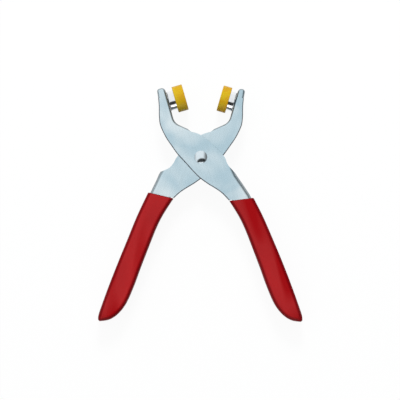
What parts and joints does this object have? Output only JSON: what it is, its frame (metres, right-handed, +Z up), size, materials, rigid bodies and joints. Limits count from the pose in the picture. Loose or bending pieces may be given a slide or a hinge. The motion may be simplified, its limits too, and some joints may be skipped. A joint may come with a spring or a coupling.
{
  "type": "snap fastener pliers",
  "caption": "Pressed-steel hand pliers, sprung open on one rivet, with round pressing dies in yellow collars on the jaws and red vinyl sleeves on the handles.",
  "frame": {"origin": "on the pivot axis, in the plane that the pliers lie on: the flat riveted end of the pivot rivet and the flat sides of both grips", "axes": "+Y from the pivot towards the jaws, midway between the open levers; +Z up along the pivot axis to the domed rivet head; +X to the right, the inner lever's jaw side"},
  "size_m": [0.1264, 0.1467, 0.0176],
  "materials": {
    "lever_steel": "bright zinc plate, satin, fine scratches",
    "rivet_steel": "bright zinc plate, smooth",
    "spring_steel": "drawn spring wire, oiled",
    "die_plating": "nickel plated, polished",
    "die_core": "turned steel",
    "collar_plastic": "moulded, semi-gloss yellow",
    "grip_vinyl": "soft vinyl, semi-gloss red"
  },
  "bodies": {
    "outer_half": {"outer_lever": "lever_steel", "outer_grip": "grip_vinyl", "ring_die_cup": "die_plating", "ring_die_core": "die_core", "ring_die_collar": "collar_plastic", "ring_die_washer": "die_core", "pivot_rivet": "rivet_steel", "pivot_spacer": "rivet_steel", "return_spring": "spring_steel"},
    "inner_half": {"inner_lever": "lever_steel", "inner_grip": "grip_vinyl", "socket_die_cup": "die_plating", "socket_die_core": "die_core", "socket_die_collar": "collar_plastic", "socket_die_washer": "die_core"}
  },
  "joints": [
    {"name": "pivot", "type": "hinge", "parent": "outer_half", "child": "inner_half", "pos_m": [0, 0, 0.0083], "axis": [0, 0, 1], "range_deg": [0, 32], "stiffness_Nm_per_rad": 0.5, "springref_deg": -17.19, "deforming": ["return_spring"]}
  ]
}
